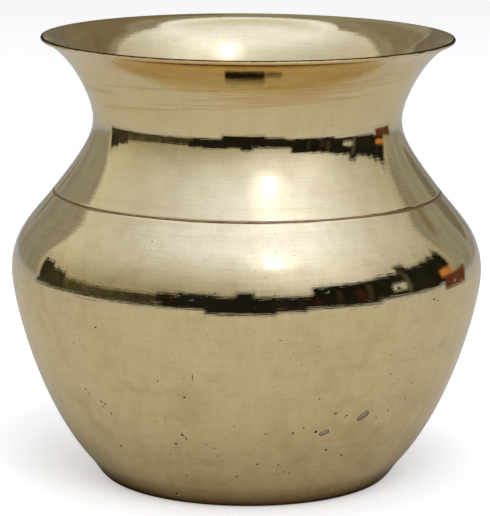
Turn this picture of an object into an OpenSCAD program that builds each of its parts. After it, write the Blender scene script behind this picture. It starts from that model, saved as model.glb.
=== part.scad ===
// Brass kalash: a round-bellied water pot with a waisted neck and a flared mouth.
// Two turned castings, a bowl and an upper shell, meet in a lap joint under the neck and are brazed.
// Sizes are in millimetres. +Z is up and the origin is the middle of the foot.

/* [Pot] */
// Height from the foot to the top of the lip
height = 109.6; // [106:0.1:116]
// Wall thickness from the neck to the belly
wall_t = 1.6; // [1.4:0.1:2.2]
// Straight steps along each curve of the outline
curve_steps = 14; // [12:1:36]

/* [Mouth] */
// Widest diameter of the lip
mouth_d = 101.6; // [96:0.1:108]
// Thickness of the rounded lip
lip_t = 1.0; // [0.8:0.1:1.4]
// How far the flare leans out from upright at the lip, in degrees
flare_lean = 72; // [64:1:75]

/* [Neck] */
// Outside diameter of the narrowest place
neck_d = 76; // [72:0.1:80]
// Height of the narrowest place
neck_z = 89.4; // [87:0.1:91]

/* [Seam] */
// Outside diameter of the brazed seam
seam_d = 95.4; // [92:0.1:98]
// Height of the brazed seam
seam_z = 71.7; // [69:0.1:74]
// How far the shoulder leans out from upright at the seam, in degrees
seam_lean = 38; // [35:1:42]
// Width of the line of braze that shows outside
seam_line = 0.46; // [0.3:0.02:0.7]
// Steps of the lower curve that the upper shell's tongue covers
lap_steps = 2; // [2:1:4]

/* [Belly] */
// Widest diameter of the belly
belly_d = 116.3; // [112:0.1:120]
// Height of the widest place
belly_z = 52; // [49:0.5:55]

/* [Foot] */
// Outside diameter of the flat that the pot stands on
foot_d = 68.4; // [64:0.1:70]
// Diameter of the place where the wall starts to turn under
heel_d = 78; // [76:0.1:80]
// Height of the place where the wall starts to turn under
heel_z = 4.8; // [4.2:0.1:5.6]
// How far the wall leans in from upright at the heel, in degrees
heel_lean = 42; // [38:1:46]
// Thickness of the floor at the foot ring
floor_t = 2.2; // [2:0.1:3]
// Width of the ring that the pot stands on
ring_w = 5; // [3:0.5:8]
// Depth of the hollow turned inside that ring
hollow = 0.6; // [0.3:0.1:0.8]

/* [Hidden] */
$fn = 240;

brass = [0.79, 0.69, 0.44];
braze_brown = [0.53, 0.40, 0.31];
solder_grey = [0.47, 0.42, 0.38];

// Clearances of the lap joint, which the braze fills
film = 0.1;
groove_depth = 0.25;
lip_share = 0.47;
bead_rise = 0.45;
// The lathe's centre mark under the foot
centre_mark_r = 1.4;
centre_mark_depth = 0.35;
hollow_slope_w = 1.6;
lip_arc_steps = 12;
bead_arc_steps = 6;

// Casting flaws in the bowl that were plugged with solder:
// [turn about the axis, share of the way along the curve from belly to heel, twist, size]
flaws = [[-57, 0.62, 35, 1.15], [-68, 0.68, 20, 0.85]];
flaw_depth = 0.6;
// A flaw's hole is three overlapping round lobes: [across, along, radius] for size 1
flaw_lobes = [[0, 0, 0.68], [0, 0.8, 0.62], [0.1, -0.85, 0.5]];

// ---- Outline: stations joined by cubic curves ----

// Unit vector that leans out by a degrees while going down
function downhill(a) = [sin(a), -cos(a)];
// Outward normal of a wall that runs in direction d
function outward(d) = [-d[1], d[0]];

// A station is [point, lean, wall thickness]
lip_n = outward(downhill(-flare_lean));
lip_centre = [mouth_d / 2 - lip_t / 2, height - lip_t / 2];
lip = [lip_centre + lip_n * lip_t / 2, -flare_lean, lip_t];
neck = [[neck_d / 2, neck_z], 0, wall_t];
seam = [[seam_d / 2, seam_z], seam_lean, wall_t];
belly = [[belly_d / 2, belly_z], 0, wall_t];
heel = [[heel_d / 2, heel_z], -heel_lean, (wall_t + floor_t) / 2];
foot = [[foot_d / 2, 0], -90, floor_t];

// Control points between stations a and b; k holds the handle lengths as shares of the chord
function controls(a, b, k) = let (chord = norm(b[0] - a[0]))
    [a[0], a[0] + downhill(a[1]) * chord * k[0], b[0] - downhill(b[1]) * chord * k[1], b[0]];
function bezier(c, t) = pow(1 - t, 3) * c[0] + 3 * pow(1 - t, 2) * t * c[1]
    + 3 * (1 - t) * t * t * c[2] + pow(t, 3) * c[3];
function bezier_way(c, t) = let (d = pow(1 - t, 2) * (c[1] - c[0]) + 2 * (1 - t) * t * (c[2] - c[1])
    + t * t * (c[3] - c[2])) d / norm(d);

// One rib of the wall is [outer point, outward normal, thickness]
function rib(a, b, k, t) = let (c = controls(a, b, k))
    [bezier(c, t), outward(bezier_way(c, t)), a[2] + (b[2] - a[2]) * t];
function ribs(a, b, k, steps = curve_steps) = [for (i = [0:steps]) rib(a, b, k, i / steps)];

flare_k = [0.29, 0.235];
shoulder_k = [0.21, 0.6];
bulge_k = [0.39, 0.41];
side_k = [0.13, 0.38];
heel_k = [0.3, 0.3];

flare_ribs = ribs(lip, neck, flare_k);
shoulder_ribs = ribs(neck, seam, shoulder_k);
bulge_ribs = ribs(seam, belly, bulge_k);
side_ribs = ribs(belly, heel, side_k, 2 * curve_steps);
heel_ribs = ribs(heel, foot, heel_k);

function tail(v, from = 1) = [for (i = [from:len(v) - 1]) v[i]];
function front(v, drop = 1) = [for (i = [0:len(v) - 1 - drop]) v[i]];
function reversed(v) = [for (i = [len(v) - 1:-1:0]) v[i]];
function outer(v) = [for (w = v) w[0]];
function inner(v) = [for (w = v) w[0] - w[1] * w[2]];
function inside(v, depth) = [for (w = v) w[0] - w[1] * depth];

upper_ribs = concat(flare_ribs, tail(shoulder_ribs));
lower_ribs = concat(bulge_ribs, tail(side_ribs), tail(heel_ribs));

// ---- Lap joint: the upper shell's tongue lies inside the bowl's edge ----

seam_way = downhill(seam_lean);
seam_n = outward(seam_way);
lap_ribs = [for (i = [0:lap_steps]) lower_ribs[i]];
lap_end = lower_ribs[lap_steps];
lap_way = [lap_end[1][1], -lap_end[1][0]];
edge_depth = wall_t * lip_share;
tongue_depth = edge_depth + film;

// Places on the joint: along the wall from the seam, and depth into it
function at_seam(along, depth) = seam[0] + seam_way * along - seam_n * depth;
function past_lap(along, depth) = lap_end[0] + lap_way * along - lap_end[1] * depth;

upper_face = [at_seam(-seam_line / 2, 0), at_seam(-film / 2, groove_depth), at_seam(-film / 2, tongue_depth)];
bowl_face = [at_seam(seam_line / 2, 0), at_seam(film / 2, groove_depth), at_seam(film / 2, edge_depth)];
tongue_back = inside(tail(lap_ribs), tongue_depth);
edge_back = inside(tail(lap_ribs), edge_depth);
bowl_step = [past_lap(film, edge_depth), past_lap(film, wall_t)];

// ---- Sub-parts ----

module upper_shell() {
    lip_arc = [for (i = [1:lip_arc_steps - 1]) let (a = 180 * i / lip_arc_steps - flare_lean)
        lip_centre + [cos(a), sin(a)] * lip_t / 2];
    section = concat(
        outer(front(upper_ribs)), upper_face, tongue_back, reversed(inner(lap_ribs)),
        reversed(inner(front(upper_ribs))), reversed(lip_arc));
    color(brass) rotate_extrude() polygon(section);
}

module bowl_wall() {
    ring_r = foot_d / 2 - ring_w;
    underside = [[ring_r, 0], [ring_r - hollow_slope_w, hollow], [centre_mark_r, hollow],
        [0, hollow + centre_mark_depth], [0, floor_t]];
    section = concat(
        reversed(bowl_face), outer(tail(lower_ribs)), underside,
        reversed(inner(tail(lower_ribs, lap_steps + 1))), reversed(bowl_step), reversed(edge_back));
    rotate_extrude() polygon(section);
}

// A flaw's hole in the wall's outer skin
module flaw(f) {
    place = rib(belly, heel, side_k, f[1]);
    lean = atan2(place[1][1], place[1][0]);
    rotate([0, 0, f[0]]) translate([place[0][0], 0, place[0][1]]) rotate([0, 90 - lean, 0])
        rotate([0, 0, f[2]]) for (lobe = flaw_lobes)
            translate([lobe[0] * f[3], lobe[1] * f[3], -flaw_depth])
                cylinder(r = lobe[2] * f[3], h = 2 * flaw_depth);
}

module lower_bowl() {
    color(brass) difference() {
        bowl_wall();
        for (f = flaws) flaw(f);
    }
}

module seam_braze() {
    bead_foot = inner([lower_ribs[lap_steps + 1]])[0];
    bead_head = inner([lower_ribs[lap_steps - 1]])[0];
    bead_middle = (bead_foot + bead_head) / 2;
    bead_arc = [for (i = [1:bead_arc_steps - 1]) let (a = 180 * i / bead_arc_steps)
        bead_middle + (bead_foot - bead_head) / 2 * cos(a) - lap_end[1] * bead_rise * sin(a)];
    section = concat(
        bowl_face, edge_back, bowl_step, [bead_foot], bead_arc, [bead_head], inner([lap_end]),
        reversed(tongue_back), reversed(upper_face));
    color(braze_brown) rotate_extrude() polygon(section);
}

module blowhole_solder() {
    color(solder_grey) intersection() {
        bowl_wall();
        for (f = flaws) flaw(f);
    }
}

upper_shell();
lower_bowl();
seam_braze();
blowhole_solder();
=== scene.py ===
import math

import bmesh
import bpy
import numpy as np
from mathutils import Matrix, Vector


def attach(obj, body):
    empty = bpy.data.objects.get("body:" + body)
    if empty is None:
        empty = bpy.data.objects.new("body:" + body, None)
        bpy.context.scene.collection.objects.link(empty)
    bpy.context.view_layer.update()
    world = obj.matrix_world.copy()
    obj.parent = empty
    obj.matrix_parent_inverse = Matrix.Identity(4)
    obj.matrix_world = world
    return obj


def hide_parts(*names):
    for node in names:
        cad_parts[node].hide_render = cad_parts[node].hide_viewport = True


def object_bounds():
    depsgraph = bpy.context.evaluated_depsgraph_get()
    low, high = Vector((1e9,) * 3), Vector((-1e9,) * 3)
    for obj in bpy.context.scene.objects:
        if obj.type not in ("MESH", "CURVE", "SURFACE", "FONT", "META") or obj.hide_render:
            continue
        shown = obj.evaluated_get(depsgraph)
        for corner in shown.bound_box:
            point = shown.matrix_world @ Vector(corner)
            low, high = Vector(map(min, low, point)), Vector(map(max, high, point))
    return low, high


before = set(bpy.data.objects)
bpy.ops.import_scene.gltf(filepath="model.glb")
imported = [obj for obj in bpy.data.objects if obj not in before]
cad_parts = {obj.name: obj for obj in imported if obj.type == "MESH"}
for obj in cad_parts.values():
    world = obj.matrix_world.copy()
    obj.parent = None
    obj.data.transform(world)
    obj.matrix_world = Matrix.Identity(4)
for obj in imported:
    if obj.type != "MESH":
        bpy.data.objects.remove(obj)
cadBox = [list(corner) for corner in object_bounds()]
lowCorner, highCorner = (Vector(corner) for corner in cadBox)
potMiddle = (lowCorner + highCorner) / 2
millimetre = 0.001
sharpAngle = math.radians(30)   # a sharper edge is shaded as an edge


# short cuts for node trees

def addNode(tree, kind, links=None, **settings):
    node = tree.nodes.new(kind)
    for name, value in settings.items():
        setattr(node, name, value)
    for key, value in (links or {}).items():
        socket = node.inputs[key]
        if isinstance(value, bpy.types.NodeSocket):
            tree.links.new(value, socket)
        else:
            socket.default_value = value
    return node


def doMath(tree, operation, first, second=0.0, third=0.0, clamp=False):
    links = {0: first, 1: second, 2: third}
    return addNode(tree, "ShaderNodeMath", links, operation=operation, use_clamp=clamp).outputs[0]


def doVector(tree, operation, first, second=(0, 0, 0), scale=None):
    links = {0: first, 1: second}
    if scale is not None:
        links["Scale"] = scale
    node = addNode(tree, "ShaderNodeVectorMath", links, operation=operation)
    return node.outputs["Value" if operation in ("LENGTH", "DOT_PRODUCT") else "Vector"]


def mapRange(tree, value, low, high, toLow=0.0, toHigh=1.0):
    links = {"Value": value, "From Min": low, "From Max": high, "To Min": toLow, "To Max": toHigh}
    return addNode(tree, "ShaderNodeMapRange", links).outputs[0]


def axisOf(tree, vector, axis="Z"):
    return addNode(tree, "ShaderNodeSeparateXYZ", {0: vector}).outputs[axis]


def alongZ(tree, value):
    return addNode(tree, "ShaderNodeCombineXYZ", {"Z": value}).outputs[0]


def objectPlace(tree):
    return addNode(tree, "ShaderNodeTexCoord").outputs["Object"]


def pointPlace(tree):
    return addNode(tree, "GeometryNodeInputPosition").outputs[0]


def stored(tree, label, dataType="FLOAT"):
    return addNode(tree, "GeometryNodeInputNamedAttribute", {"Name": label},
                   data_type=dataType).outputs["Attribute"]


def noise(tree, vector, scale, seed, detail=3.0, roughness=0.55):
    return addNode(tree, "ShaderNodeTexNoise", {
        "Vector": vector, "W": seed, "Scale": scale, "Detail": detail, "Roughness": roughness},
        noise_dimensions="4D").outputs["Fac"]


def passOn(tree, kind, shape, links=None, **settings):
    # one step that takes a geometry and hands it on
    return addNode(tree, "GeometryNode" + kind, {"Geometry": shape} | (links or {}), **settings).outputs[0]


def join(tree, *shapes):
    node = addNode(tree, "GeometryNodeJoinGeometry")
    for shape in shapes:
        tree.links.new(shape, node.inputs[0])
    return node.outputs[0]


def newTree(name, kind, inputs, outputs):
    # inputs are [name, socket type, start value], outputs are [name, socket type]
    tree = bpy.data.node_groups.new(name, kind)
    for label, socketType, value in inputs:
        socket = tree.interface.new_socket(label, in_out="INPUT", socket_type="NodeSocket" + socketType)
        if value is not None:
            socket.default_value = value
    for label, socketType in outputs:
        tree.interface.new_socket(label, in_out="OUTPUT", socket_type="NodeSocket" + socketType)
    return tree, tree.nodes.new("NodeGroupInput").outputs, tree.nodes.new("NodeGroupOutput").inputs


def runTree(mesh, tree, values, name):
    # runs a Geometry Nodes tree once on a mesh and keeps the result as a plain mesh object
    holder = bpy.data.objects.new(name + "Holder", mesh)
    bpy.context.scene.collection.objects.link(holder)
    modifier = holder.modifiers.new(tree.name, "NODES")
    modifier.node_group = tree
    for item in tree.interface.items_tree:
        if item.in_out == "INPUT" and item.name in values:
            modifier[item.identifier] = values[item.name]
    graph = bpy.context.evaluated_depsgraph_get()
    result = bpy.data.meshes.new_from_object(holder.evaluated_get(graph), depsgraph=graph)
    holder.modifiers.remove(modifier)
    bpy.data.objects.remove(holder)
    keepUsedMaterials(result)
    result.name = name
    piece = bpy.data.objects.new(name, result)
    bpy.context.scene.collection.objects.link(piece)
    return piece


def keepUsedMaterials(mesh):
    numbers = np.empty(len(mesh.polygons), dtype=np.int32)
    mesh.polygons.foreach_get("material_index", numbers)
    numbers = np.minimum(numbers, len(mesh.materials) - 1)
    used = [int(i) for i in np.unique(numbers)]
    metals = [mesh.materials[i] for i in used]
    mesh.materials.clear()
    for metal in metals:
        mesh.materials.append(metal)
    mesh.polygons.foreach_set("material_index", np.searchsorted(used, numbers).astype(np.int32))


# sections of the turned pieces, read from the CAD nodes

lipExtra = 8               # fine steps kept past the top of the lip
sectionValues = {
    "weld": 1e-7,              # vertices closer than this are one
    "cornerAngle": 18.0,       # degrees; a sharper turn is a real corner
    "slightAngle": 4.0,        # degrees; enough for a corner where a long flat meets a short side
    "longFlat": 3,             # times the short side
    "cornerRound": 0.00003,    # how far the worn edges are rounded
    "polishDepth": 0.00002,    # metal that polishing takes off
}


def readSection(nodeName):
    # the half outline of a turned node in the XZ plane, anticlockwise from its lowest point
    merged = bmesh.new()
    merged.from_mesh(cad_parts[nodeName].data)
    bmesh.ops.remove_doubles(merged, verts=merged.verts, dist=sectionValues["weld"])
    weld = sectionValues["weld"]
    inPlane = {v for v in merged.verts if abs(v.co.y) < weld and v.co.x > -weld}
    nextTo = {v: [e.other_vert(v) for e in v.link_edges if e.other_vert(v) in inPlane] for v in inPlane}
    ends = [v for v in inPlane if len(nextTo[v]) == 1]
    closed = not ends
    start = min(ends or inPlane, key=lambda v: (v.co.z, v.co.x))
    chain, last = [start], None
    while True:
        onwards = [v for v in nextTo[chain[-1]] if v is not last and v is not start]
        if not onwards:
            break
        last = chain[-1]
        chain.append(max(onwards, key=lambda v: v.co.x) if last is start else onwards[0])
    points = [Vector((v.co.x, v.co.z)) for v in chain]
    merged.free()
    if not closed:   # a flat disc has no vertex in its middle
        points = [Vector((0, p.y)) for p in points[:1] if p.x > sectionValues["weld"]] + points
        points += [Vector((0, p.y)) for p in points[-1:] if p.x > sectionValues["weld"]]
    area = sum(a.x * b.y - b.x * a.y for a, b in zip(points, points[1:] + points[:1]))
    if area < 0:
        points = [points[0]] + points[:0:-1] if closed else points[::-1]
    return points, closed


def turnAt(points, i, closed):
    # how far the outline turns at a point, in degrees
    if not closed and i in (0, len(points) - 1):
        return 180.0
    before = points[i] - points[i - 1]
    after = points[(i + 1) % len(points)] - points[i]
    return abs(math.degrees(before.angle_signed(after)))


def isCorner(points, i, closed):
    # a sharp turn, or a slight one where a long flat meets a short side
    turn = turnAt(points, i, closed)
    if turn > sectionValues["cornerAngle"]:
        return True
    sides = (points[i] - points[i - 1]).length, (points[(i + 1) % len(points)] - points[i]).length
    return turn > sectionValues["slightAngle"] and max(sides) > sectionValues["longFlat"] * min(sides)


def splineRun(run, step):
    # a smooth curve through the points of one run, by arc length
    if len(run) == 2:
        count = max(1, round((run[1] - run[0]).length / step))
        return [run[0].lerp(run[1], k / count) for k in range(count + 1)]
    sides = [b - a for a, b in zip(run, run[1:])]
    ways = [sides[0].normalized()]
    for one, two in zip(sides, sides[1:]):   # the shorter side counts more, so long flats stay flat
        ways.append((one / one.length * two.length + two / two.length * one.length).normalized())
    ways.append(sides[-1].normalized())
    dense = [run[0].copy()]
    fine = 24
    for b, c, side, wayB, wayC in zip(run, run[1:], sides, ways, ways[1:]):
        for k in range(1, fine + 1):
            t = k / fine
            dense.append(b * (2 * t ** 3 - 3 * t ** 2 + 1) + wayB * side.length * (t ** 3 - 2 * t ** 2 + t)
                         + c * (3 * t ** 2 - 2 * t ** 3) + wayC * side.length * (t ** 3 - t ** 2))
    reach = np.concatenate([[0], np.cumsum([(b - a).length for a, b in zip(dense, dense[1:])])])
    count = max(2, round(reach[-1] / step))
    places = np.linspace(0, reach[-1], count + 1)
    xs, ys = np.interp(places, reach, [p.x for p in dense]), np.interp(places, reach, [p.y for p in dense])
    return [Vector(p) for p in zip(xs, ys)]


def cutBack(run, amount, atStart, atEnd):
    # shortens a run at its corners, where a worn edge takes over
    run = list(run)
    for doIt in (atStart, atEnd):
        if doIt and (run[1] - run[0]).length > 2 * amount:
            run[0] = run[0] + (run[1] - run[0]).normalized() * amount
        run.reverse()
    return run


def smoothSection(nodeName, steps, grooves=()):
    # points, facings and distances along a section, with smooth curves between its corners
    points, closed = readSection(nodeName)
    count = len(points)
    corners = [i for i in range(count) if isCorner(points, i, closed)]
    top = max(range(count), key=lambda i: points[i].y)
    if closed:
        corners = [0] + [i for i in corners if i] + [count]
    outerStep, innerStep = steps
    worn = sectionValues["cornerRound"]
    section = []
    for a, b in zip(corners, corners[1:]):
        run = [points[i % count].copy() for i in range(a, b + 1)]
        atAxis = [points[i % count].x < sectionValues["weld"] for i in (a, b)]
        run = cutBack(run, worn, not atAxis[0], not atAxis[1])
        if a < top < b:   # the lip is fine outside and coarser inside
            fineRun, coarseRun = splineRun(run, outerStep), splineRun(run, innerStep)
            peak = max(range(len(fineRun)), key=lambda i: fineRun[i].y)
            peak = min(peak + lipExtra, len(fineRun) - 1)
            join = min(range(len(coarseRun)), key=lambda i: (coarseRun[i] - fineRun[peak]).length)
            section += fineRun[:peak + 1] + coarseRun[join + 1:]
        else:
            section += splineRun(run, outerStep if (a + b) / 2 < top else innerStep)
    facings, along = [], [0.0]
    for i, here in enumerate(section):
        before = section[i - 1] if closed or i else here
        after = section[(i + 1) % len(section)] if closed or i + 1 < len(section) else here
        way = (after - before).normalized()
        atPole = not closed and i in (0, len(section) - 1)
        facings.append(Vector((0, -math.copysign(1, way.x))) if atPole else Vector((way.y, -way.x)))
        along.append(along[-1] + (after - here).length)
    peak = max(range(len(section)), key=lambda i: section[i].y)
    for i, (here, facing) in enumerate(zip(section, facings)):
        depth = sectionValues["polishDepth"]
        if i < peak:
            depth += sum(deep * math.exp(-((here.y - z) / wide) ** 2) for z, deep, wide in grooves)
        section[i] = here - facing * depth
        section[i].x = max(section[i].x, 0.0) if closed or 0 < i < len(section) - 1 else 0.0
    return section, facings, along[:-1], peak, closed


def sectionMesh(name, section, facings, along, peak, shares):
    # the section as loose points for the lathe tree; shares are how far ripples reach outside and inside
    mesh = bpy.data.meshes.new(name + "Section")
    mesh.from_pydata([(p.x, 0, p.y) for p in section], [], [])
    facingData = mesh.attributes.new("facing", "FLOAT_VECTOR", "POINT").data
    for i, facing in enumerate(facings):
        facingData[i].vector = (facing.x, 0, facing.y)
    values = {"along": along, "share": [shares[0] if i <= peak else shares[1] for i in range(len(section))]}
    for label, numbers in values.items():
        mesh.attributes.new(label, "FLOAT", "POINT").data.foreach_set("value", numbers)
    return mesh


# the lathe: turns a section about Z and adds what the tool leaves

latheValues = {
    "changeAround": 0.35,   # how much ripples change round the pot
    "slipEdge": 0.0012,     # over which the askew marks fade in
    "slipLevel": 0.8,
    "weld": 5e-7,
}

def buildLatheTree():
    tree, given, result = newTree("turnOnLathe", "GeometryNodeTree", [
        ["Section", "Geometry", None], ["Steps Around", "Int", 240], ["Closed Section", "Bool", False],
        ["Ripple Depth", "Float", 0.0], ["Ripple Spacing", "Float", 0.002], ["Wobble Depth", "Float", 0.0],
        ["Wobble Size", "Float", 0.03], ["Tilted Depth", "Float", 0.0], ["Tilted Spacing", "Float", 0.002],
        ["Tilt", "Float", 0.0], ["Tilted Low", "Float", 0.0], ["Tilted High", "Float", 0.0],
        ["Seed", "Float", 0.0], ["Metal", "Material", None],
    ], [["Mesh", "Geometry"]])
    count = addNode(tree, "GeometryNodeAttributeDomainSize", {"Geometry": given["Section"]},
                    component="MESH").outputs["Point Count"]
    rows = doMath(tree, "ADD", count, given["Closed Section"])
    columns = doMath(tree, "ADD", given["Steps Around"], 1)
    lastRow = doMath(tree, "SUBTRACT", rows, 1)
    grid = addNode(tree, "GeometryNodeMeshGrid", {
        "Size X": given["Steps Around"], "Size Y": lastRow, "Vertices X": columns, "Vertices Y": rows})
    place = pointPlace(tree)
    step = doMath(tree, "ADD", axisOf(tree, place, "X"), doMath(tree, "DIVIDE", given["Steps Around"], 2))
    row = doMath(tree, "ADD", axisOf(tree, place, "Y"), doMath(tree, "DIVIDE", lastRow, 2))
    row = doMath(tree, "MODULO", doMath(tree, "ROUND", row), count)
    turn = doMath(tree, "MULTIPLY", doMath(tree, "DIVIDE", step, given["Steps Around"]), math.tau)

    def fromSection(value, dataType):
        return addNode(tree, "GeometryNodeSampleIndex", {"Geometry": given["Section"], "Value": value,
                                                         "Index": row},
                       data_type=dataType).outputs[0]

    def named(label, dataType):
        return fromSection(stored(tree, label, dataType), dataType)

    def turned(vector):
        return addNode(tree, "ShaderNodeVectorRotate", {"Vector": vector, "Angle": turn},
                       rotation_type="Z_AXIS").outputs[0]

    spot = turned(fromSection(pointPlace(tree), "FLOAT_VECTOR"))
    facing = turned(named("facing", "FLOAT_VECTOR"))
    along, share = named("along", "FLOAT"), named("share", "FLOAT")
    # ripples run round the pot and change slowly along each turn
    outward = doVector(tree, "NORMALIZE", doVector(tree, "MULTIPLY", spot, (1, 1, 0)))
    around = doVector(tree, "SCALE", outward, scale=latheValues["changeAround"])
    lift = alongZ(tree, doMath(tree, "DIVIDE", along, given["Ripple Spacing"]))
    ripple = noise(tree, doVector(tree, "ADD", around, lift), 1.0, given["Seed"], 2.0, 0.6)
    swell = doVector(tree, "SCALE", spot, scale=doMath(tree, "DIVIDE", 1.0, given["Wobble Size"]))
    wobble = noise(tree, swell, 1.0, given["Seed"], 1.0, 0.5)
    push = doMath(tree, "ADD",
                  doMath(tree, "MULTIPLY", doMath(tree, "SUBTRACT", ripple, 1.0), given["Ripple Depth"]),
                  doMath(tree, "MULTIPLY", doMath(tree, "SUBTRACT", wobble, 1.0), given["Wobble Depth"]))
    # a few marks lie askew, where the tool slipped while the pot was chucked out of true
    askew = doMath(tree, "MULTIPLY", axisOf(tree, spot, "X"), given["Tilt"])
    askew = doMath(tree, "SUBTRACT", axisOf(tree, spot), askew)
    slips = addNode(tree, "ShaderNodeTexNoise", {
        "W": doMath(tree, "DIVIDE", askew, given["Tilted Spacing"]), "Scale": 1.0, "Detail": 2.0,
        "Roughness": 0.7},
        noise_dimensions="1D").outputs["Fac"]
    low, high, edge = given["Tilted Low"], given["Tilted High"], latheValues["slipEdge"]
    band = doMath(tree, "MULTIPLY", mapRange(tree, askew, low, doMath(tree, "ADD", low, edge)),
                  mapRange(tree, askew, high, doMath(tree, "SUBTRACT", high, edge)))
    slip = doMath(tree, "MULTIPLY", doMath(tree, "SUBTRACT", slips, latheValues["slipLevel"]),
                  doMath(tree, "MULTIPLY", band, given["Tilted Depth"]))
    push = doMath(tree, "MULTIPLY", doMath(tree, "ADD", push, slip), share)
    shape = grid.outputs["Mesh"]
    for label, value in (("along", along), ("share", share)):   # stored while the grid still lies flat
        shape = passOn(tree, "StoreNamedAttribute", shape, {"Name": label, "Value": value},
                       data_type="FLOAT", domain="POINT")
    moved = doVector(tree, "ADD", spot, doVector(tree, "SCALE", facing, scale=push))
    shape = passOn(tree, "SetPosition", shape, {"Position": moved})
    shape = passOn(tree, "MergeByDistance", shape, {"Distance": latheValues["weld"]})
    shape = passOn(tree, "SetShadeSmooth", shape, {"Shade Smooth": True})
    shape = passOn(tree, "RealizeInstances", shape)
    shape = passOn(tree, "SetMaterial", shape, {"Material": given["Metal"]})
    tree.links.new(shape, result["Mesh"])
    return tree


latheTree = buildLatheTree()


def turnPiece(name, nodeName, values):
    section, facings, along, peak, closed = smoothSection(nodeName, values["steps"],
                                                          values.get("grooves", ()))
    mesh = sectionMesh(name, section, facings, along, peak, values["shares"])
    piece = runTree(mesh, latheTree, {
        "Steps Around": values["stepsAround"], "Closed Section": closed,
        "Ripple Depth": values["rippleDepth"],
        "Ripple Spacing": values["rippleSpacing"], "Wobble Depth": values["wobbleDepth"],
        "Wobble Size": values["wobbleSize"], "Seed": values["seed"], "Metal": values["metal"],
        **values.get("askew", {})}, name)
    piece.data.set_sharp_from_angle(angle=sharpAngle)
    return piece


# what a polished pot shows everywhere: groups put out colours, masks and heights only

def ramp(tree, value, stops):
    # stops are (place, level) pairs
    node = addNode(tree, "ShaderNodeValToRGB", {"Fac": value})
    while len(node.color_ramp.elements) < len(stops):
        node.color_ramp.elements.new(0.5)
    for element, (place, level) in zip(node.color_ramp.elements, stops):
        element.position = place
        element.color = tuple(level) + (1,) if hasattr(level, "__len__") else (level, level, level, 1)
    return node.outputs["Color"]


def mixColour(tree, factor, first, second, blend="MIX"):
    node = addNode(tree, "ShaderNodeMix", data_type="RGBA", blend_type=blend)
    for key, value in ((0, factor), (6, first), (7, second)):
        if isinstance(value, bpy.types.NodeSocket):
            tree.links.new(value, node.inputs[key])
        else:
            node.inputs[key].default_value = value if isinstance(value, float) else tuple(value) + (1,)
    return node.outputs[2]


def buildToolLines():
    # fine lines left by the lathe and the polishing belt, which run round the pot
    tree, given, result = newTree("toolLines", "ShaderNodeTree", [
        ["Along", "Float", 0.0], ["Place", "Vector", None], ["Lines per Metre", "Float", 3000.0],
        ["Seed", "Float", 0.0], ["Break Up", "Float", 60.0], ["Stroke Width", "Float", 0.0004],
        ["Stroke Length", "Float", 0.012]], [["Height", "Float"], ["Mask", "Float"], ["Strokes", "Float"]])
    turned = doVector(tree, "MULTIPLY", given["Place"], (1, 1, 0))
    around = doVector(tree, "SCALE", turned, scale=given["Break Up"])
    lift = alongZ(tree, doMath(tree, "MULTIPLY", given["Along"], given["Lines per Metre"]))
    lines = noise(tree, doVector(tree, "ADD", around, lift), 1.0, given["Seed"], 3.0, 0.7)
    bandShare = doMath(tree, "MULTIPLY", given["Lines per Metre"], 0.16)   # bands are wider than lines
    wide = alongZ(tree, doMath(tree, "MULTIPLY", given["Along"], bandShare))
    bands = noise(tree, doVector(tree, "ADD", doVector(tree, "SCALE", around, scale=0.4), wide), 1.0,
                  doMath(tree, "ADD", given["Seed"], 7.0), 2.0)
    slim = doVector(tree, "SCALE", turned, scale=doMath(tree, "DIVIDE", 1.0, given["Stroke Width"]))
    rise = alongZ(tree, doMath(tree, "DIVIDE", given["Along"], given["Stroke Length"]))
    strokes = noise(tree, doVector(tree, "ADD", slim, rise), 1.0, given["Seed"], 2.0, 0.6)
    tree.links.new(strokes, result["Strokes"])
    tree.links.new(lines, result["Height"])
    tree.links.new(doMath(tree, "MULTIPLY", lines, bands), result["Mask"])
    return tree


def buildTarnish():
    # slow cloudy oxide, with drips that run down and small freckles
    tree, given, result = newTree("tarnish", "ShaderNodeTree", [
        ["Place", "Vector", None], ["Size", "Float", 0.02], ["Seed", "Float", 0.0],
        ["Freckle Size", "Float", 0.0011]],
        [["Clouds", "Float"], ["Drips", "Float"], ["Freckles", "Float"]])
    scaled = doVector(tree, "SCALE", given["Place"], scale=doMath(tree, "DIVIDE", 1.0, given["Size"]))
    clouds = ramp(tree, noise(tree, scaled, 1.0, given["Seed"], 5.0, 0.62), [(0.46, 0.0), (0.66, 1.0)])
    stretched = doVector(tree, "MULTIPLY", scaled, (6.0, 6.0, 0.35))
    drips = ramp(tree, noise(tree, stretched, 1.0, given["Seed"], 3.0, 0.6), [(0.45, 0.0), (0.75, 1.0)])
    cells = addNode(tree, "ShaderNodeTexVoronoi", {
        "Vector": doVector(tree, "SCALE", given["Place"],
                           scale=doMath(tree, "DIVIDE", 1.0, given["Freckle Size"])),
        "Scale": 1.0, "Randomness": 1.0}, voronoi_dimensions="3D")
    chosen = doMath(tree, "GREATER_THAN", addNode(
        tree, "ShaderNodeSeparateColor", {0: cells.outputs["Color"]}).outputs[0], 0.95)
    freckles = doMath(tree, "MULTIPLY", ramp(tree, cells.outputs["Distance"], [(0.08, 1.0), (0.24, 0.0)]),
                      chosen)
    tree.links.new(clouds, result["Clouds"])
    tree.links.new(drips, result["Drips"])
    tree.links.new(freckles, result["Freckles"])
    return tree


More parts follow.
